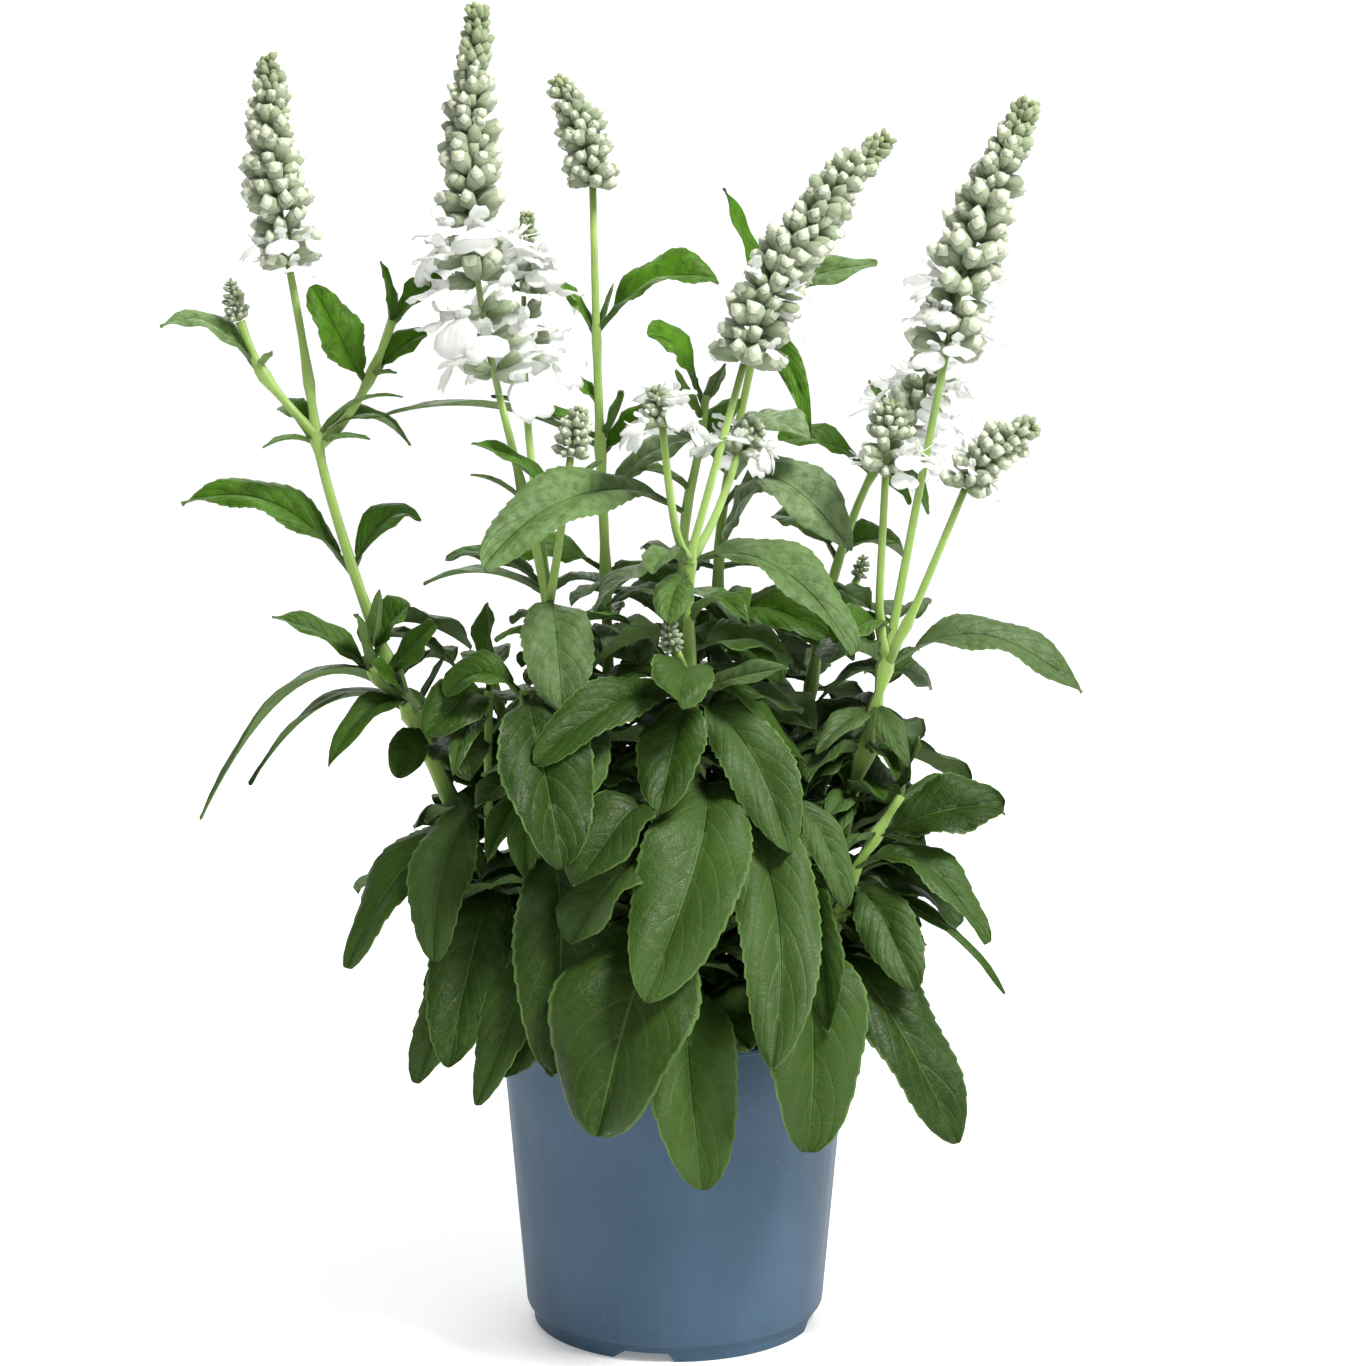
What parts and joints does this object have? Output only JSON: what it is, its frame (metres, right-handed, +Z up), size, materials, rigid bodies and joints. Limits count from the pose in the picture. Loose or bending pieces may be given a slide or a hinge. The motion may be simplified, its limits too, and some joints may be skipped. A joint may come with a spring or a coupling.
{
  "type": "perennial salvia in pot",
  "caption": "Bushy perennial salvia with upright spikes of white flowers over dark green leaves, growing in a round plastic nursery pot.",
  "frame": {"origin": "centre of the pot's underside, on the flat foot pad that it stands on", "axes": "+Z up, +X to the right of a viewer in front of the plant, +Y away from that viewer"},
  "size_m": [0.325, 0.206, 0.473],
  "materials": {
    "blue_plastic": "matte slate blue polypropylene",
    "potting_soil": "dark crumbly peat and bark",
    "leaf_green": "soft green leaf and stem, slightly felted",
    "flower_white": "felted pale calyces with white petals"
  },
  "bodies": {
    "root": {"pot": "blue_plastic", "soil": "potting_soil", "stem_left": "leaf_green", "stem_centre_left": "leaf_green", "stem_back_tall": "leaf_green", "stem_front": "leaf_green", "stem_right": "leaf_green", "stem_back_right": "leaf_green", "shoot_inner": "leaf_green", "shoot_back_centre": "leaf_green", "shoot_low_right": "leaf_green", "shoot_front_right": "leaf_green", "shoot_front": "leaf_green", "shoot_front_left": "leaf_green", "shoot_low_left": "leaf_green", "shoot_rear_1": "leaf_green", "shoot_rear_2": "leaf_green", "shoot_rear_3": "leaf_green", "shoot_rear_4": "leaf_green", "shoot_rear_5": "leaf_green", "shoot_rear_6": "leaf_green", "shoot_rear_7": "leaf_green", "shoot_rear_8": "leaf_green", "spike_left": "flower_white", "spike_left_side": "flower_white", "spike_centre_left": "flower_white", "spike_centre_left_second": "flower_white", "spike_centre_left_third": "flower_white", "spike_back_tall": "flower_white", "spike_front": "flower_white", "spike_front_west": "flower_white", "spike_front_east": "flower_white", "spike_front_low": "flower_white", "spike_right": "flower_white", "spike_right_west": "flower_white", "spike_right_east": "flower_white", "spike_back_right": "flower_white", "spike_back_right_low": "flower_white"}
  },
  "joints": []
}
